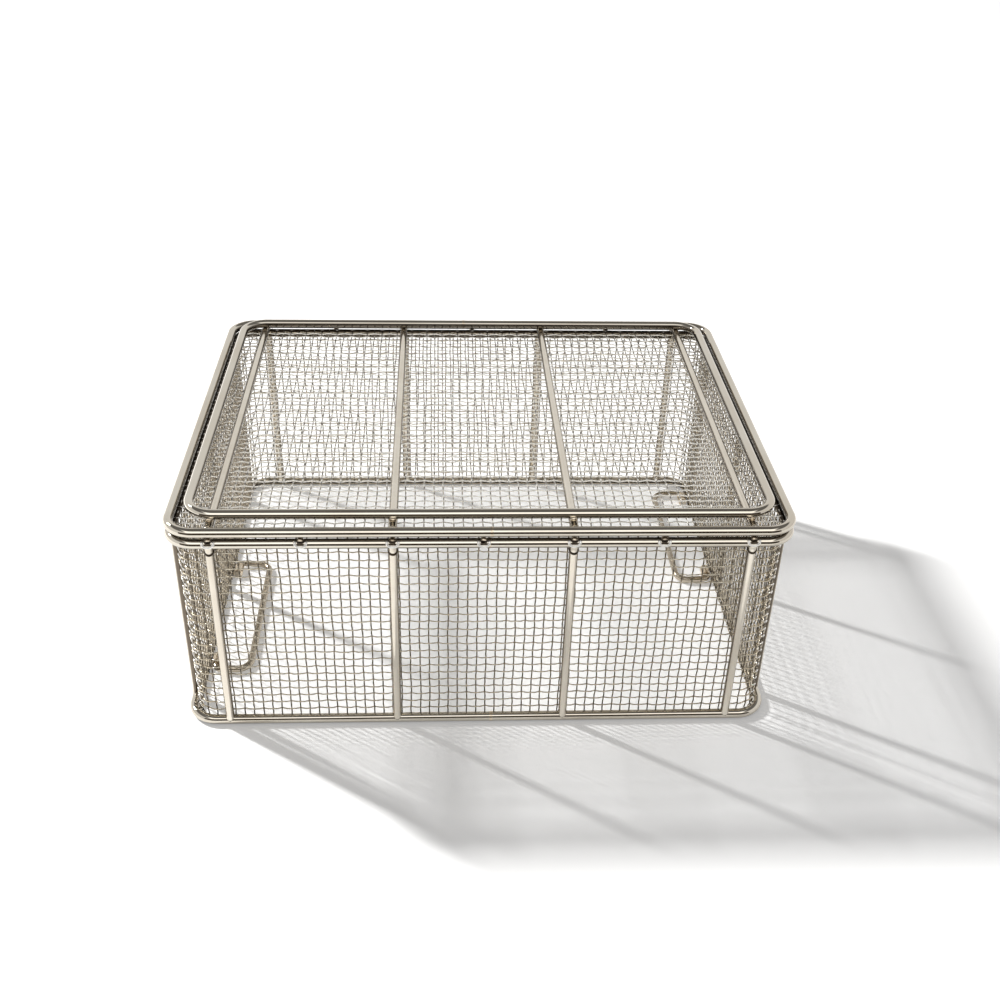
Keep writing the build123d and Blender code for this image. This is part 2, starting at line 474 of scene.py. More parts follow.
@dataclass(frozen=True)
class BarRing:
    """Closed ring of round bar, butt welded on one long side."""

    rng: random.Random
    name: str
    node: str
    weld_x: float
    weld_at_back: bool = False
    bend: float = 14.25 * MM
    bar_sides: int = 36
    straight_step: float = 6 * MM
    bend_steps: int = 22
    weld_steps: tuple[float, ...] = (0.0, 0.4 * MM, 0.8 * MM, 1.3 * MM, 2.0 * MM, 3.2 * MM)
    weld_clear: float = 5 * MM
    weld_swell: float = 0.07 * MM
    weld_half_width: float = 1.3 * MM
    seam_half_width: float = 0.8 * MM
    ripple: float = 0.012 * MM
    ripple_waves: tuple[float, ...] = (0.031, 0.047, 0.073)
    # Painted shade on the bar's inner side and underside, as a share of the finish's shade colour.
    painted_shade_strength: float = 0.9
    inner_painted_shade: Pair = (0.72, 0.22)  # painted shade on the inner side: share of the radius where it starts, and how fast it deepens
    lower_painted_shade: Pair = (0.28, 0.35)

    def build(self) -> Piece:
        """Sweep the bar round the ring.

        Returns:
            The ring's object.
        """
        low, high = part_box(self.node)
        bar = high.z - low.z
        half_x, half_y = (high.x - low.x - bar) / 2, (high.y - low.y - bar) / 2
        line, outward = self._line(half_x, half_y, level_of(self.node))
        along = np.concatenate([[0.0], np.cumsum(np.linalg.norm(np.diff(line, axis=0), axis=1))])
        radius = np.full(len(line), bar / 2 - self.ripple - self.weld_swell)
        for wave in self.ripple_waves:
            phase = self.rng.uniform(0, FULL_TURN)
            radius += self.ripple / len(self.ripple_waves) * np.sin(FULL_TURN * along / wave + phase)
        total = along[-1] + float(np.linalg.norm(line[0] - line[-1]))
        from_weld = np.minimum(along, total - along)
        radius += self.weld_swell * np.exp(-((from_weld / self.weld_half_width) ** 2))
        # Painted shade: the bar's inner flank and underside darken towards the finish's shade colour.
        turn = round_turn(self.bar_sides)
        inward = np.clip((-self.inner_painted_shade[0] - np.cos(turn)) / self.inner_painted_shade[1], 0, 1)
        below = np.clip((-self.lower_painted_shade[0] - np.sin(turn)) / self.lower_painted_shade[1], 0, 1)
        shade = self.painted_shade_strength * np.maximum(inward, below)
        tube = TubeMesh()
        tube.add(line, outward, Z_WAY, radius, self.bar_sides, closed=True, shade=shade[None, :])
        ring = tube.make(self.name, (RING_POLISH, WELD_NUGGET))
        seam = [int(self._on_seam(face.center)) for face in ring.data.polygons]
        ring.data.polygons.foreach_set("material_index", seam)
        return settle(ring, [self.node])

    def _on_seam(self, place: Vector) -> bool:
        """Whether a place lies on the ring's own weld."""
        return abs(place.x - self.weld_x) < self.seam_half_width and (place.y > 0) == self.weld_at_back

    def _line(self, half_x: float, half_y: float, z: float) -> tuple[Array, Array]:
        """Points of the ring's centreline, from the weld round to it, and their outward directions.

        Args:
            half_x: half the length between centrelines.
            half_y: half the width between them.
            z: height of the centreline.

        Returns:
            The points and the outward unit vectors.
        """
        flip = -1.0 if self.weld_at_back else 1.0
        cx, cy = half_x - self.bend, half_y - self.bend
        weld = self.weld_x * flip
        rows = [(weld + offset, -half_y, 0.0, -1.0) for offset in self.weld_steps]

        def straight(start: Pair, end: Pair, out: Pair) -> None:
            """Add a straight run without its end point."""
            count = max(2, round(math.dist(start, end) / self.straight_step))
            for share in (k / count for k in range(count)):
                rows.append(tuple(a + (b - a) * share for a, b in zip(start, end)) + out)

        def corner(x: float, y: float, first: float) -> None:
            """Add a quarter turn without its end point."""
            for k in range(self.bend_steps):
                angle = first + k / self.bend_steps * math.pi / 2
                out = (math.cos(angle), math.sin(angle))
                rows.append((x + self.bend * out[0], y + self.bend * out[1]) + out)

        straight((weld + self.weld_clear, -half_y), (cx, -half_y), (0.0, -1.0))
        corner(cx, -cy, -math.pi / 2)
        straight((half_x, -cy), (half_x, cy), (1.0, 0.0))
        corner(cx, cy, 0.0)
        straight((cx, half_y), (-cx, half_y), (0.0, 1.0))
        corner(-cx, cy, math.pi / 2)
        straight((-half_x, cy), (-half_x, -cy), (-1.0, 0.0))
        corner(-cx, -cy, math.pi)
        straight((-cx, -half_y), (weld - self.weld_clear, -half_y), (0.0, -1.0))
        back_to_weld = (self.weld_clear, *self.weld_steps[:0:-1])
        rows.extend((weld - offset, -half_y, 0.0, -1.0) for offset in back_to_weld)
        line = np.array([(x * flip, y * flip, z) for x, y, _, _ in rows])
        outward = np.array([(x * flip, y * flip, 0.0) for _, _, x, y in rows])
        return line, outward


@dataclass(frozen=True)
class StraightRods:
    """Uprights of the walls and rods of the base, with the swell that welding leaves at their ends."""

    rng: random.Random
    sides: int = 28
    inset: float = 1.1 * MM
    end_steps: tuple[float, ...] = (0.0, 0.4 * MM, 0.8 * MM, 1.3 * MM, 2.0 * MM, 3.0 * MM)
    plain_from: float = 7 * MM
    plain_steps: int = 22
    swell: float = 0.32 * MM
    swell_reach: float = 1.5 * MM
    ripple: float = 0.010 * MM
    ripple_waves: tuple[float, ...] = (0.023, 0.041)
    # Painted shade on both flanks of each rod, side-on to its open side.
    flank_painted_shade: float = 0.9
    flank_from: float = 0.74
    flank_fade: float = 0.30

    def build(self) -> list[Piece]:
        """Make every straight rod.

        Returns:
            The rods' objects.
        """
        return [self._rod(node) for node in nodes_named("rod_", "base_rod_")]

    def _rod(self, node: str) -> Piece:
        """Make one rod between the bars that hold it.

        Args:
            node: its CAD node.

        Returns:
            The rod's object.
        """
        low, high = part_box(node)
        upright = node.startswith("rod_")
        axis = 2 if upright else 1
        half = (high[axis] - low[axis]) / 2
        steps = np.array(self.end_steps)
        middle_run = np.linspace(self.plain_from - half, half - self.plain_from, self.plain_steps)
        tip = half + self.inset
        places = np.concatenate([[-tip], steps - half, middle_run, half - steps[::-1], [tip]])
        centres = np.tile(np.array(middle_of(node)), (len(places), 1))
        centres[:, axis] += places
        to_end = np.clip(half - np.abs(places), 0, None)
        radii = (high.x - low.x) / 2 + self.swell * np.exp(-((to_end / self.swell_reach) ** 2))
        for wave in self.ripple_waves:
            swing = np.sin(FULL_TURN * places / wave + self.rng.uniform(0, FULL_TURN))
            radii -= self.ripple / len(self.ripple_waves) * (1 + swing)
        up = Y_WAY if upright else Z_WAY
        out = self._outward(node)
        # Painted shade: the rod's flanks darken, while its faces toward and away from the open side stay
        # light.
        turn = round_turn(self.sides)
        facing = np.cos(turn) * float(X_WAY @ out) + np.sin(turn) * float(up @ out)
        shade = self.flank_painted_shade * np.clip((self.flank_from - facing) / self.flank_fade, 0, 1)
        shade = shade * np.clip((self.flank_from + facing) / self.flank_fade, 0, 1)
        tube = TubeMesh()
        tube.add(centres, X_WAY, up, radii, self.sides, shade=shade[None, :])
        rod = tube.make(("Upright_" if upright else "Base_") + node, (ROD_SATIN,))
        return settle(rod, [node])

    @staticmethod
    def _outward(node: str) -> Array:
        """The way that a rod's open side faces, by its CAD node."""
        ways = {"front": -Y_WAY, "back": Y_WAY, "left": -X_WAY, "right": X_WAY}
        return ways.get(node.split("_")[1], Z_WAY)


@dataclass(frozen=True)
class ClothField:
    """Slow unevenness of a panel of woven cloth, the same for both families of wires."""

    phases: tuple[float, ...]
    drift: float = 0.30 * MM
    bulge: float = 0.35 * MM
    slow_share: float = 0.6
    slow_waves: tuple[float, ...] = (0.083, 0.061, 0.071, 0.093, 0.118, 0.087)
    quick_waves: Pair = (0.028, 0.033)
    skews: Pair = (0.019, 0.023)

    def shift(self, s: Array, z: Array) -> tuple[Array, Array, Array]:
        """Displacements of points of the cloth.

        Args:
            s: distances along the cloth.
            z: distances across it.

        Returns:
            Shifts along, across, and out of the cloth, where out is never positive.
        """
        a, b, c, d, e, f = self.phases

        def swing(place: Array, wave: float, phase: float | Array) -> Array:
            """Sine of a place in a wave."""
            return np.sin(FULL_TURN * place / wave + phase)

        slow = self.slow_waves
        quick_share = 1.0 - self.slow_share
        along = self.drift * (
            self.slow_share * swing(s, slow[0], a) * swing(z, slow[1], b)
            + quick_share * swing(z, self.quick_waves[0], c + s / self.skews[0])
        )
        over = self.drift * (
            self.slow_share * swing(s, slow[2], d) * swing(z, slow[3], e)
            + quick_share * swing(s, self.quick_waves[1], f + z / self.skews[1])
        )
        out = -self.bulge * (0.5 + 0.5 * swing(s, slow[4], c) * swing(z, slow[5], d))
        return along, over, out


@dataclass(frozen=True)
class ClothWeave:
    """Plain weave of one wire gauge."""

    pitch: float = 5.08 * MM
    wire_radius: float = 0.40 * MM
    crimp: float = 0.40 * MM
    sides: int = 6
    loose: float = 0.10 * MM
    sag: float = 0.26 * MM
    stray: float = 0.17 * MM
    stray_at_crossings: float = 0.4

    def field(self, rng: random.Random) -> ClothField:
        """Draw the unevenness of one panel."""
        return ClothField(tuple(rng.uniform(0, FULL_TURN) for _ in range(6)))

    def shade(self, swing: Array, between: float, less_on_crests: float) -> Array:
        """Painted shade of a wire: so much between its crossings, and so much less on its crests."""
        return (between - less_on_crests * np.abs(swing) / self.crimp)[:, None]

    def spread(self, low: float, high: float) -> Array:
        """Places of the wires that fill a span best."""
        return np.linspace(low, high, max(1, round((high - low) / self.pitch)) + 1)

    def strays(self, count: int, rng: random.Random) -> Array:
        """Draw how far a wire strays at each crossing and midway to the next."""
        drawn = np.array([rng.uniform(-self.stray, self.stray) for _ in range(count)])
        drawn[::2] *= self.stray_at_crossings
        return drawn


@dataclass(frozen=True)
class WallPlace:
    """Where a flat wall of cloth stands: its middle, the way along it, the way out of it and its length."""

    middle: Array
    along: Array
    out: Array
    run: float


@dataclass(frozen=True)
class BasketCloth:
    """The woven wire cloth of the walls, the corners and the base."""

    rng: random.Random
    weave: ClothWeave = field(default_factory=ClothWeave)
    warp_painted_shade: Pair = (0.95, 0.50)  # painted shade between the crossings, and how much less of it the crests take
    weft_painted_shade: Pair = (0.42, 0.42)
    base_painted_shades: Pair = (0.92, 0.06)
    side_fade: float = 8 * MM
    level_fade: float = 6 * MM
    base_fade: float = 12 * MM
    turn_radius: float = 11.0 * MM
    corner_wires: tuple[float, ...] = (26.5, 51.0, 65.0)  # degrees from the long wall, like the seam
    seam_angle: float = 58.0
    seam_gap: float = 5.5
    lacing_radius: float = 0.42 * MM
    lacing_half: Pair = (1.75 * MM, 0.62 * MM)
    lacing_steps: int = 14
    lacing_hang: float = 0.28
    lacing_loose: Pair = (0.12, 2.7)  # share of its width, and how fast it changes
    base_bend: float = 13.8 * MM
    wire_end: float = 0.3 * MM
    last_crossing: float = 0.5 * MM
    hem_half: Pair = (1.7 * MM, 0.62 * MM)
    hem_depth: float = 1.9 * MM
    hem_steps: int = 12

    def build(self) -> list[Piece]:
        """Weave every panel.

        Returns:
            The panels' objects.
        """
        made = [self._wall(wall) for wall in Wall]
        for near, side in ((n, s) for n in (Wall.FRONT, Wall.BACK) for s in (Wall.LEFT, Wall.RIGHT)):
            made.append(self._corner(near, side))
        made.append(self._base())
        return made

    def _levels(self) -> Array:
        """Heights of the level wires of the walls."""
        low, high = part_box("cloth_front")
        return self.weave.spread(low.z + self.weave.wire_radius, high.z - self.weave.wire_radius)

    def _middle_insets(self) -> Pair:
        """Distances of the cloth's middle plane from the basket's middle, to the side and to the front."""
        left_low, left_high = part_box("cloth_left")
        front_low, front_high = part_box("cloth_front")
        return -(left_low.x + left_high.x) / 2, -(front_low.y + front_high.y) / 2

    def _place(self, wall: Wall) -> WallPlace:
        """Where a wall's flat cloth stands."""
        side, front = self._middle_insets()
        long_run = 2 * (side - self.turn_radius)
        short_run = 2 * (front - self.turn_radius)
        return {
            Wall.FRONT: WallPlace(-front * Y_WAY, X_WAY, -Y_WAY, long_run),
            Wall.BACK: WallPlace(front * Y_WAY, -X_WAY, Y_WAY, long_run),
            Wall.LEFT: WallPlace(-side * X_WAY, -Y_WAY, -X_WAY, short_run),
            Wall.RIGHT: WallPlace(side * X_WAY, Y_WAY, X_WAY, short_run),
        }[wall]

    def _wall(self, wall: Wall) -> Piece:
        """Weave one flat wall.

        Args:
            wall: which wall.

        Returns:
            The wall's object.
        """
        place = self._place(wall)
        levels = self._levels()
        columns = self.weave.spread(-place.run / 2, place.run / 2)

        def spot(s: Array, z: Array, d: Array) -> Array:
            """Points of the panel, fading the unevenness out towards its edges."""
            shift_s, shift_z, shift_d = uneven.shift(s, z)
            to_level_end = np.minimum(z - levels[0], levels[-1] - z)
            fade = np.clip((place.run / 2 - np.abs(s)) / self.side_fade, 0, 1)
            fade = fade * np.clip(to_level_end / self.level_fade, 0, 1)
            s = (s + shift_s * fade)[:, None]
            d = (d + shift_d * fade)[:, None]
            z = (z + shift_z * fade)[:, None]
            return place.middle + s * place.along + d * place.out + z * Z_WAY

        uneven = self.weave.field(self.rng)
        tube = TubeMesh()
        self._weave(tube, columns, levels, spot, place)
        upright_finish = WARP_WIRE if wall in (Wall.FRONT, Wall.BACK) else SIDE_WIRE
        level_finish = WEFT_WIRE if wall is Wall.FRONT else SIDE_WIRE
        panel = tube.make("Woven_cloth_" + wall.value, (upright_finish, level_finish))
        return settle(panel, ["cloth_" + wall.value])

    def _weave(
        self,
        tube: TubeMesh,
        columns: Array,
        rows: Array,
        spot: Callable[[Array, Array, Array], Array],
        place: WallPlace,
    ) -> None:
        """Weave one flat panel over and under: the upright wires, then the level ones.

        Args:
            tube: mesh that takes the wires.
            columns: places of the upright wires along the panel.
            rows: places of the level wires across it.
            spot: turns places along, across and out into points.
            place: where the panel stands.
        """
        weave = self.weave
        sections = (place.along, np.cross(place.out, place.along))
        tints = (self.warp_painted_shade, self.weft_painted_shade)
        for finish, (wires, crossed, lift) in enumerate(((columns, rows, 1.0), (rows, columns, -1.0))):
            halves = self._with_halves(crossed)
            for i, wire in enumerate(wires):
                swing = lift * self._swing(len(halves), i) * weave.crimp
                inner = 0 < i < len(wires) - 1
                offset = self.rng.uniform(-weave.loose, weave.loose) if inner else 0.0
                stray = weave.strays(len(halves), self.rng)
                level = finish == 1
                if level and inner:
                    stray[1::2] -= weave.sag
                line = wire + offset + stray
                points = spot(halves, line, swing) if level else spot(line, halves, swing)
                # Painted shade: darker between the crossings, lighter on the crests.
                shade = weave.shade(swing, *tints[finish])
                tube.add(
                    points, sections[finish], place.out, weave.wire_radius, weave.sides, finish, shade=shade
                )

    @staticmethod
    def _with_halves(places: Array) -> Array:
        """Places with the middle of each gap between them added."""
        return np.sort(np.concatenate([places, (places[1:] + places[:-1]) / 2]))

    @staticmethod
    def _swing(count: int, start: int) -> Array:
        """Over and under along a wire: full at each crossing, nothing between, the other way each time."""
        steps = np.arange(count)
        return np.where(steps % 2 == 0, np.where((steps // 2 + start) % 2 == 0, 1.0, -1.0), 0.0)

    def _corner(self, near: Wall, side: Wall) -> Piece:
        """Turn the cloth round one corner and lace its two ends together.

        Args:
            near: front or back.
            side: left or right.

        Returns:
            The corner's object.
        """
        weave = self.weave
        sx = -1.0 if side is Wall.LEFT else 1.0
        sy = -1.0 if near is Wall.FRONT else 1.0
        reach, depth = self._middle_insets()
        centre = np.array((sx * (reach - self.turn_radius), sy * (depth - self.turn_radius), 0.0))
        levels = self._levels()
        tall = self._with_halves(levels)

        def spoke(degrees: Array) -> Array:
            """Outward directions at angles from the long wall."""
            turn = np.radians(degrees)
            return np.stack([sx * np.sin(turn), sy * np.cos(turn), np.zeros_like(turn)], axis=-1)

        def arc(degrees: Array, z: Array, d: Array) -> Array:
            """Points on the turn."""
            points = centre + (self.turn_radius + d)[:, None] * spoke(degrees)
            points[:, 2] = z
            return points

        tube = TubeMesh()
        for i, degrees in enumerate(self.corner_wires):
            out = spoke(np.array([degrees]))[0]
            swing = self._swing(len(tall), i + 1) * weave.crimp
            points = arc(np.full(len(tall), degrees), tall, swing)
            shade = weave.shade(swing, *self.warp_painted_shade)
            tube.add(points, np.cross(out, Z_WAY), out, weave.wire_radius, weave.sides, 0, shade=shade)
        spans = ((0.0, self.seam_angle - self.seam_gap, 4), (self.seam_angle + self.seam_gap, 90.0, 3))
        for j, z in enumerate(levels):
            for first, last, steps in spans:
                degrees = np.linspace(first, last, 2 * steps + 1)
                swing = -weave.crimp * np.cos(degrees / self.corner_wires[0] * math.pi + math.pi * j)
                points = arc(degrees, np.full(len(degrees), z), swing)
                tube.add(points, Z_WAY, spoke(degrees), weave.wire_radius, weave.sides, 1)
        self._lace(tube, centre, spoke(np.array([self.seam_angle]))[0], levels)
        place = near.value + "_" + side.value
        corner = tube.make("Laced_corner_" + place, (WARP_WIRE, SIDE_WIRE, LACING_WIRE))
        return settle(corner, ["corner_" + place])

    def _lace(self, tube: TubeMesh, centre: Array, out: Array, levels: Array) -> None:
        """Wind the lacing wire up the seam.

        Args:
            tube: mesh that takes the wire.
            centre: middle of the corner's turn.
            out: outward direction at the seam.
            levels: heights of the level wires.
        """
        step = levels[1] - levels[0]
        turns = len(levels) - 2
        phase = np.arange(turns * self.lacing_steps + 1) / self.lacing_steps
        share, pace = self.lacing_loose
        wide = self.lacing_half[0] * (1 + share * np.sin(phase * pace + self.rng.uniform(0, 6)))
        swing = np.sin(FULL_TURN * phase)
        points = centre + self.turn_radius * out
        points = points + (wide * np.cos(FULL_TURN * phase))[:, None] * np.cross(Z_WAY, out)
        points = points + (self.lacing_half[1] * swing)[:, None] * out
        points[:, 2] = levels[0] + step / 2 + phase * step + self.lacing_hang * step * swing
        ahead = unit_rows(np.gradient(points, axis=0))
        side = unit_rows(np.cross(ahead, Z_WAY))
        tube.add(points, side, np.cross(ahead, side), self.lacing_radius, 7, 2)

    def _base(self) -> Piece:
        """Weave the cloth of the base, trimmed to the rings' bends and hemmed.

        Returns:
            The base's object.
        """
        weave = self.weave
        half = tuple(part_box("cloth_base")[1])[:2]
        level = level_of("cloth_base")
        uneven = weave.field(self.rng)
        edge = weave.pitch / 2
        grids = [weave.spread(edge - side, side - edge) for side in half]
        tube = TubeMesh()
        for across, (between, lift, way) in enumerate(zip(self.base_painted_shades, (1.0, -1.0), (X_WAY, Y_WAY))):
            along = 1 - across
            for i, place in enumerate(grids[across]):
                line = self._trimmed(grids[along], place, half[along], half[across])
                if len(line) < 3:
                    continue
                first = int(np.argmin(np.abs(grids[along] - line[1])))
                points = np.zeros((len(line), 3))
                points[:, across] = place + self.rng.uniform(-weave.loose, weave.loose)
                points[:, along] = line
                shifts = uneven.shift(points[:, 0], points[:, 1])
                fade = np.clip((half[along] - np.abs(line)) / self.base_fade, 0, 1)
                fade = fade * min(1.0, (half[across] - abs(place)) / self.base_fade)
                swing = np.zeros(len(line))
                swing[1:-1] = self._swing(len(line) - 2, first + i) * weave.crimp
                points[:, 0] += shifts[0] * fade
                points[:, 1] += shifts[1] * fade
                points[:, 2] = level + lift * swing
                # Painted shade between the crossings of the base wires.
                shade = weave.shade(swing, between, between)
                tube.add(points, way, Z_WAY, weave.wire_radius, weave.sides, 0, shade=shade)
        self._hem(tube, half, level)
        base = tube.make("Woven_cloth_base", (BASE_WIRE, WELD_SHADE))
        return settle(base, ["cloth_base"])

    def _trimmed(self, crossing: Array, place: float, reach: float, width: float) -> Array:
        """Points along a wire of the base: its ends, its crossings and the middles between them.

        Args:
            crossing: places of the wires that it crosses.
            place: where the wire lies across the panel.
            reach: half the panel's size along the wire.
            width: half the panel's size across the wire.

        Returns:
            The places along the wire, fewer than three if it is too short to weave.
        """
        end = reach - self.wire_end
        into_bend = abs(place) - (width - self.base_bend)
        if into_bend > 0:
            end -= self.base_bend - math.sqrt(max(0.0, self.base_bend**2 - into_bend**2))
        inside = crossing[np.abs(crossing) < end - self.last_crossing]
        if len(inside) < 2:
            return inside
        return np.concatenate([[-end], self._with_halves(inside), [end]])

    def _hem(self, tube: TubeMesh, half: tuple[float, ...], z: float) -> None:
        """Run the hem wire round the base cloth's edge, in the groove between the rings.

        Args:
            tube: mesh that takes the wire.
            half: half the cloth's length and half its width.
            z: height of its middle.
        """
        share = np.arange(self.hem_steps + 1) / self.hem_steps
        spokes, corners = [], []
        for quarter, signs in enumerate(((1, 1), (-1, 1), (-1, -1), (1, -1))):
            angle = (quarter + share) * math.pi / 2
            spokes.append(np.stack([np.cos(angle), np.sin(angle), np.zeros_like(angle)], axis=-1))
            corners.extend([[sign * (size - self.base_bend) for sign, size in zip(signs, half)]] * len(share))
        spokes = np.concatenate(spokes)
        points = (self.base_bend - self.hem_depth) * spokes
        points[:, :2] += corners
        points[:, 2] = z
        across = spokes * self.hem_half[0]
        # The hem takes the near-black painted shade finish, which darkens the groove between the rings.
        tube.add(points, across, Z_WAY * self.hem_half[1], 1.0, 10, 1, closed=True)


@dataclass(frozen=True)
class WeldMetal:
    """Weld nuggets at the rods' ends, under the foot ring and between the base rings."""

    rng: random.Random
    detail: int = 3
    lump: float = 0.12
    lumps_across: float = 1.7
    # Painted shade round each weld where it meets a bar, over this width.
    painted_shade_width: float = 0.35 * MM
    rod_end_half: Triple = (3.05 * MM, 2.72 * MM, 3.5 * MM)
    rod_end_step: float = 0.24
    rod_shade_from: float = 0.10 * MM
    base_end_half: Triple = (2.95 * MM, 1.35 * MM, 2.62 * MM)
    base_end_proud: float = 0.15 * MM
    foot_half: Triple = (2.5 * MM, 1.7 * MM, 1.7 * MM)
    foot_inset: float = 0.3
    foot_lift: float = 0.1 * MM
    spot_half: Triple = (2.75 * MM, 2.38 * MM, 2.45 * MM)
    spot_inset: float = 2.02 * MM
    spot_drop: float = 1.7 * MM
    spot_shade_from: float = 0.05 * MM
    spot_shade_below: Triple = (1.6 * MM, 0.5 * MM, 0.95)  # height, fade and strength of the painted shade on each bead's lower half
    rim_turn: Pair = (168.0, 372.0)
    rim_half: Pair = (2.85 * MM, 2.65 * MM)
    rim_lift: float = 1.75 * MM
    rim_top: float = 2.3 * MM
    rim_sunk: float = 0.28 * MM
    line_radius: float = 0.75 * MM
    # Where the dark lines of painted shade under the uprights' welds lie, and their shape.
    crease_below: float = 1.3 * MM
    crease_turn: float = 100.0
    crease_sunk: float = 0.05 * MM
    crease_drop: float = 1.5 * MM
    crease_flat: float = 0.6

    def build(self) -> list[Piece]:
        """Make the rods' welds as one piece, the groove's spot welds as another, their bright rims of painted
        highlight and their dark lines of painted shade.

        Returns:
            The four objects.
        """
        joints = bmesh.new()
        self._base_joints(joints)
        self._wall_joints(joints)
        welds = settle(self._finish(joints, "Rod_end_welds"))
        return [welds, self._groove(), self._rims(), self._creases()]

    def _base_joints(self, joints: bmesh.types.BMesh) -> None:
        """Weld the base rods' ends, and the foot ring to them.

        Args:
            joints: mesh that takes the welds.
        """
        bar = thickness_of("rim_ring")
        foot_low, foot_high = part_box("foot_ring")
        for node in nodes_named("base_rod_"):
            low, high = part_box(node)
            middle = middle_of(node)
            for way in (-1.0, 1.0):
                y = middle.y + way * ((high.y - low.y) / 2 + self.base_end_proud)
                self._nugget(joints, Vector((middle.x, y, middle.z)), Vector(self.base_end_half))
                y = way * (foot_high.y - self.foot_inset * bar)
                under = Vector((middle.x, y, foot_low.z + self.foot_lift))
                self._nugget(joints, under, Vector(self.foot_half))

    def _wall_joints(self, joints: bmesh.types.BMesh) -> None:
        """Weld both ends of each upright, with painted shade where the weld meets the ring.

        Args:
            joints: mesh that takes the welds.
        """
        bar = thickness_of("rim_ring")
        for node in nodes_named("rod_"):
            middle = middle_of(node)
            sideways = "_left_" in node or "_right_" in node
            x, y, z = self.rod_end_half
            half = Vector((y, x, z) if sideways else (x, y, z))
            for level, way in ((level_of("rim_ring"), 1.0), (level_of("base_ring_lower"), -1.0)):

                def clear(point: Vector) -> float:
                    """Painted shade where a point is close to the ring."""
                    over = point - Vector((middle.x, middle.y, level))
                    proud = math.hypot(over.x if sideways else over.y, over.z) - bar / 2
                    return 1.0 - (proud - self.rod_shade_from) / self.painted_shade_width

                spot = Vector((middle.x, middle.y, level + way * self.rod_end_step * bar))
                self._nugget(joints, spot, half, clear)

    def _groove(self) -> Piece:
        """Fill the groove between the base rings with spot welds, with painted shade beside the bars and on
        their lower halves.

        Returns:
            The spot welds' object.
        """
        bar = thickness_of("rim_ring")
        ring_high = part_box("base_ring_lower")[1]
        levels = (level_of("base_ring_lower"), level_of("base_ring_upper"))
        drop, fade, most = self.spot_shade_below
        groove = bmesh.new()
        for spot, along_x in self._groove_spots():

            def tint(point: Vector) -> float:
                """Painted shade where a point is close to a base ring, and on the bead's lower half."""
                reach = ring_high.y - abs(point.y) if along_x else ring_high.x - abs(point.x)
                proud = min(math.hypot(reach - bar / 2, point.z - z) for z in levels) - bar / 2
                below = min(most, (spot.z + drop - point.z) / fade)
                return max(1.0 - (proud - self.spot_shade_from) / self.painted_shade_width, below)

            x, y, z = self.spot_half
            self._nugget(groove, spot, Vector((x, y, z) if along_x else (y, x, z)), tint)
        return settle(self._finish(groove, "Groove_spot_welds"), ["weld_beads"])

    def _rims(self) -> Piece:
        """Lay a bright rim, a painted highlight, round each spot weld on the lower base ring.

        Returns:
            The rims' object.
        """
        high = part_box("base_ring_lower")[1]
        bar = thickness_of("base_ring_lower") / 2
        tube = TubeMesh()
        turn = np.linspace(*np.radians(self.rim_turn), 21)
        sideways = (self.rim_half[0] * np.cos(turn))[:, None]
        height = np.clip(self.rim_lift + self.rim_half[1] * np.sin(turn), None, self.rim_top)[:, None]
        forward = np.sqrt(bar**2 - height**2)
        for spot, along_x in self._groove_spots():
            along, out = wall_ways(along_x, math.copysign(1.0, spot.y if along_x else spot.x))
            proud = (forward * out + height * Z_WAY) / bar
            start = (spot.x if along_x else spot.y) * along + level_of("base_ring_lower") * Z_WAY
            start = start + ((high.y if along_x else high.x) - bar) * out
            points = start + sideways * along + (bar - self.rim_sunk) * proud
            side = unit_rows(np.cross(unit_rows(np.gradient(points, axis=0)), proud))
            tube.add(points, side, proud, self.line_radius, 12)
        return settle(tube.make("Spot_weld_rims", (WELD_FRINGE,)))

    def _creases(self) -> Piece:
        """Lay a dark line of painted shade round each upright, under the lower base ring's weld.

        Returns:
            The creases' object.
        """
        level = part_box("base_ring_lower")[0].z - self.crease_below
        limit = math.radians(self.crease_turn)
        turn = np.linspace(-limit, limit, 17)[:, None]
        tube = TubeMesh()
        for node in nodes_named("rod_"):
            low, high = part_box(node)
            middle = middle_of(node)
            along_x = "_front_" in node or "_back_" in node
            along, out = wall_ways(along_x, math.copysign(1.0, middle.y if along_x else middle.x))
            spokes = np.sin(turn) * along + np.cos(turn) * out
            points = np.array((middle.x, middle.y, level))
            points = points + ((high.x - low.x) / 2 - self.crease_sunk) * spokes
            points = points - self.crease_drop * np.cos(turn) * Z_WAY
            tube.add(points, spokes * self.crease_flat, Z_WAY, self.line_radius, 8)
        return settle(tube.make("Upright_weld_creases", (WELD_SHADE,)))

    def _groove_spots(self) -> list[tuple[Vector, bool]]:
        """Places of the spot welds between the base rings: at each upright and midway between them.

        Returns:
            Each place, and whether it lies on a long wall.
        """
        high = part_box("weld_beads")[1]
        z = level_of("weld_beads") - self.spot_drop
        spots = []
        for axis, wall in enumerate((Wall.FRONT, Wall.LEFT)):
            reach = high[1 - axis] - self.spot_inset
            nodes = nodes_named(f"rod_{wall.value}_")
            rods = sorted(sum(end[axis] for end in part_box(node)) / 2 for node in nodes)
            for place in sorted(rods + [(a + b) / 2 for a, b in zip(rods, rods[1:])]):
                for out in (-reach, reach):
                    spots.append((Vector((out, place, z) if axis else (place, out, z)), not axis))
        return spots

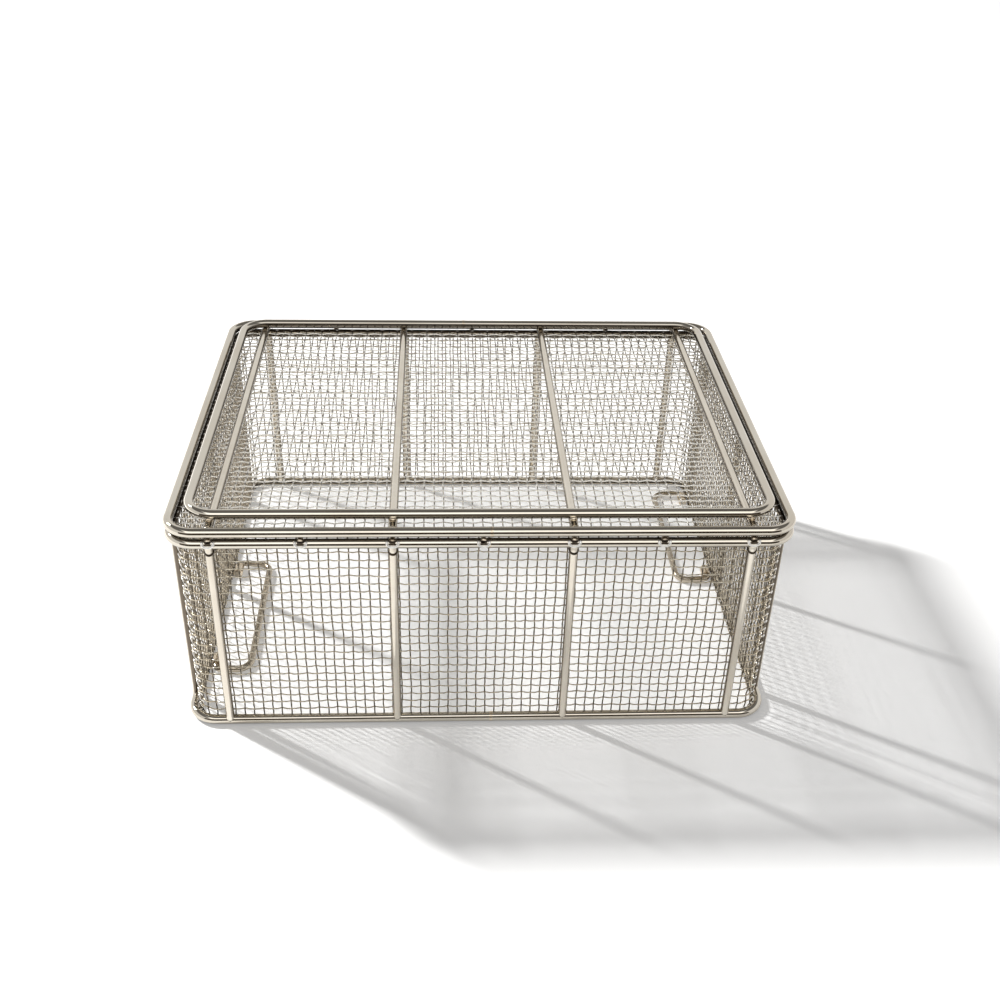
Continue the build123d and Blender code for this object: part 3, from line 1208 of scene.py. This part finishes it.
    def _nugget(
        self,
        joints: bmesh.types.BMesh,
        spot: Vector,
        half: Vector,
        tint: Callable[[Vector], float] | None = None,
    ) -> None:
        """Add one uneven lump of weld.

        Args:
            joints: mesh that takes it.
            spot: its middle.
            half: its half sizes.
            tint: gives the painted shade of a point.
        """
        shade = joints.verts.layers.float.get(SHADE) or joints.verts.layers.float.new(SHADE)
        made = bmesh.ops.create_icosphere(joints, subdivisions=self.detail, radius=1.0)
        seed = Vector([self.rng.uniform(0, 50) for _ in range(3)])
        for vertex in made["verts"]:
            swell = 1.0 - self.lump + self.lump * noise.noise(vertex.co * self.lumps_across + seed)
            vertex.co = spot + half * (vertex.co * swell)
            if tint is not None:
                vertex[shade] = min(1.0, max(0.0, tint(vertex.co)))

    def _finish(self, joints: bmesh.types.BMesh, name: str) -> Piece:
        """Turn the lumps into a smooth object."""
        mesh = mesh_of(name, joints)
        mesh.polygons.foreach_set("use_smooth", [True] * len(mesh.polygons))
        mesh.materials.append(WELD_NUGGET.material())
        return put_in_scene(name, mesh)


@dataclass(frozen=True)
class DropHandles:
    """The two wire handles and their hinge sleeves, which keep their CAD shapes."""

    finishes: tuple[tuple[str, SteelFinish], ...] = (
        ("handle_left", HANDLE_SATIN),
        ("handle_right", HANDLE_SATIN),
        ("handle_sleeves_left", WELD_NUGGET),
        ("handle_sleeves_right", WELD_NUGGET),
    )

    def dress(self) -> None:
        """Give each CAD node its finish."""
        for node, finish in self.finishes:
            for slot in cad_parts[node].material_slots:
                slot.material = finish.material()
            LOG.info("%s: dressed with %s", node, finish.name)


@dataclass(frozen=True)
class Studio:
    """Pale floor, dark flag, soft strip lamp, surroundings and camera."""

    floor_half: float = 8.0
    floor_white: float = 0.90
    floor_lift: float = 0.25
    matt: float = 0.9
    sky_fill: float = 0.42
    flag_half: Pair = (0.6, 0.139)
    flag_place: Triple = (0.0, -0.46, 0.141)
    flag_black: Triple = (0.035, 0.024, 0.014)
    room_stops: tuple[tuple[float, Triple], ...] = (
        (0.0, (0.60, 0.59, 0.57)),
        (0.43, (0.86, 0.85, 0.84)),
        (0.80, (0.86, 0.85, 0.84)),
        (0.83, (0.17, 0.165, 0.16)),
        (1.0, (0.17, 0.165, 0.16)),
    )
    screen_stops: tuple[tuple[float, Triple], ...] = (
        (0.0, (0.60, 0.59, 0.57)),
        (0.43, (0.86, 0.85, 0.84)),
        (0.645, (0.86, 0.85, 0.84)),
        (0.655, (0.035, 0.025, 0.015)),
        (0.692, (0.035, 0.025, 0.015)),
        (0.702, (1.70, 1.69, 1.67)),
        (0.930, (1.70, 1.69, 1.67)),
        (0.945, (0.10, 0.095, 0.09)),
        (1.0, (0.16, 0.155, 0.15)),
    )
    screen_ahead: Pair = (0.10, -0.15)
    screen_sides: Pair = (0.55, 0.42)
    lamp_place: Triple = (-3.20, 2.07, 2.98)
    lamp_aim: Triple = (0.0, 0.0, 0.06)
    lamp_size: Pair = (0.20, 0.70)
    lamp_power: float = 335.0
    lamp_colour: Triple = (1.0, 0.995, 0.985)
    sensor: float = 36.0
    lens: float = 42.835
    clip: Pair = (0.01, 60.0)
    place: Triple = (-0.02249, -0.62130, 0.46292)
    yaw: float = 0.0605
    pitch: float = 0.5677
    roll: float = 0.0302

    def build(self) -> None:
        """Make everything round the basket."""
        self._floor()
        self._sky()
        self._flag()
        self._lamp()
        self._camera()

    @staticmethod
    def _sheet(name: str, segments: int, half: float, material: bpy.types.Material) -> Piece:
        """Lay a flat square sheet.

        Args:
            name: its name.
            segments: faces along each side.
            half: half its side.
            material: what it is made of.

        Returns:
            The sheet's object.
        """
        sheet = bmesh.new()
        bmesh.ops.create_grid(sheet, x_segments=segments, y_segments=segments, size=half)
        mesh = mesh_of(name, sheet)
        mesh.materials.append(material)
        return put_in_scene(name, mesh)

    def _floor(self) -> None:
        """Make the floor, white to the eye and in the metal, which keeps the basket's shadow."""
        made = bpy.data.materials.new("pale_studio_floor")
        sketch = NodeSketch(made)
        surface = {
            "Base Color": (self.floor_white, self.floor_white, self.floor_white, 1.0),
            "Roughness": self.matt,
            "Specular IOR Level": 0.1,
            "Emission Color": (1.0, 1.0, 1.0, 1.0),
            "Emission Strength": sketch.reckon("MULTIPLY", sketch.seen(), self.floor_lift),
        }
        sketch.put(sketch.tree.nodes["Principled BSDF"], surface)
        self._sheet("Studio_floor", 8, self.floor_half, made)

    def _flag(self) -> None:
        """Stand a dark card in front, seen only in the metal, to edge the polish."""
        made = bpy.data.materials.new("black_flag_cloth")
        sketch = NodeSketch(made)
        surface = {"Base Color": (*self.flag_black, 1.0), "Roughness": self.matt}
        sketch.put(sketch.tree.nodes["Principled BSDF"], surface)
        flag = self._sheet("Studio_flag", 1, 1.0, made)
        flag.scale = (*self.flag_half, 1.0)
        flag.rotation_euler = (math.pi / 2, 0.0, 0.0)
        flag.location = self.flag_place
        flag.visible_camera = False
        flag.visible_diffuse = False
        flag.visible_shadow = False

    def _sky(self) -> None:
        """Make the surroundings: pale walls, a dim ceiling and a broad bright screen in front."""
        world = bpy.data.worlds.new("Soft_studio")
        bpy.context.scene.world = world
        sketch = NodeSketch(world)
        place = sketch.add("TexCoord").outputs["Generated"]
        way = sketch.add("SeparateXYZ", {"Vector": place}).outputs
        height = sketch.spread(way["Z"], (-1.0, 1.0))
        room, screen = (self._ramp(sketch, height, stops) for stops in (self.room_stops, self.screen_stops))
        ahead = sketch.spread(way["Y"], self.screen_ahead)
        between = sketch.spread(sketch.reckon("ABSOLUTE", way["X"]), self.screen_sides)
        surroundings = {
            "Color": sketch.blend(sketch.reckon("MULTIPLY", ahead, between), room, screen),
            "Strength": sketch.spread(sketch.seen(), (0.0, 1.0), (self.sky_fill, 1.0)),
        }
        sketch.put(sketch.tree.nodes["Background"], surroundings)

    @staticmethod
    def _ramp(sketch: NodeSketch, height: Socket, stops: Sequence[tuple[float, Triple]]) -> Socket:
        """Colour the surroundings by height.

        Args:
            sketch: the world's nodes.
            height: socket of the height, 0 at the bottom and 1 at the top.
            stops: heights and colours, in order.

        Returns:
            The colour's socket.
        """
        node = sketch.add("ValToRGB", {"Fac": height})
        ends = node.color_ramp.elements
        for end, (position, colour) in ((ends[0], stops[0]), (ends[1], stops[-1])):
            end.position, end.color = position, (*colour, 1.0)
        for position, colour in stops[1:-1]:
            ends.new(position).color = (*colour, 1.0)
        return node.outputs["Color"]

    def _lamp(self) -> None:
        """Hang the soft strip lamp."""
        lamp = bpy.data.lights.new("Key_strip_softbox", "AREA")
        lamp.shape = "RECTANGLE"
        lamp.size, lamp.size_y = self.lamp_size
        lamp.energy = self.lamp_power
        lamp.color = self.lamp_colour
        holder = put_in_scene("Key_strip_softbox", lamp)
        holder.location = self.lamp_place
        holder.rotation_mode = "QUATERNION"
        aim = Vector(self.lamp_aim) - Vector(self.lamp_place)
        holder.rotation_quaternion = aim.to_track_quat("-Z", "Y")

    def _camera(self) -> None:
        """Set up the camera."""
        level = Vector((math.cos(self.yaw), -math.sin(self.yaw), 0.0))
        flat = Vector((math.sin(self.yaw), math.cos(self.yaw), 0.0))
        ahead = math.cos(self.pitch) * flat - Vector((0.0, 0.0, math.sin(self.pitch)))
        steep = level.cross(ahead)
        right = math.cos(self.roll) * level + math.sin(self.roll) * steep
        up = -math.sin(self.roll) * level + math.cos(self.roll) * steep
        lens = bpy.data.cameras.new("Basket_camera")
        lens.sensor_width = self.sensor
        lens.lens = self.lens
        lens.clip_start, lens.clip_end = self.clip
        camera = put_in_scene("Basket_camera", lens)
        turned = Matrix((right, up, -ahead)).transposed().to_4x4()
        camera.matrix_world = Matrix.Translation(self.place) @ turned
        bpy.context.scene.camera = camera


def main() -> None:
    """Build the basket's pieces and the studio."""
    logging.basicConfig(level=logging.INFO, format="%(name)s: %(message)s")
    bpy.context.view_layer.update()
    rng = random.Random(SEED)
    for ring in (
        BarRing(rng, "Rim_ring_bar", "rim_ring", 6 * MM),
        BarRing(rng, "Lower_base_ring_bar", "base_ring_lower", 3 * MM),
        BarRing(rng, "Upper_base_ring_bar", "base_ring_upper", 4 * MM),
        BarRing(rng, "Foot_ring_bar", "foot_ring", -6 * MM, weld_at_back=True),
    ):
        ring.build()
    StraightRods(rng).build()
    BasketCloth(rng).build()
    WeldMetal(rng).build()
    DropHandles().dress()
    Studio().build()
    bpy.context.scene.view_settings.view_transform = "Standard"


if __name__ == "__main__":
    main()
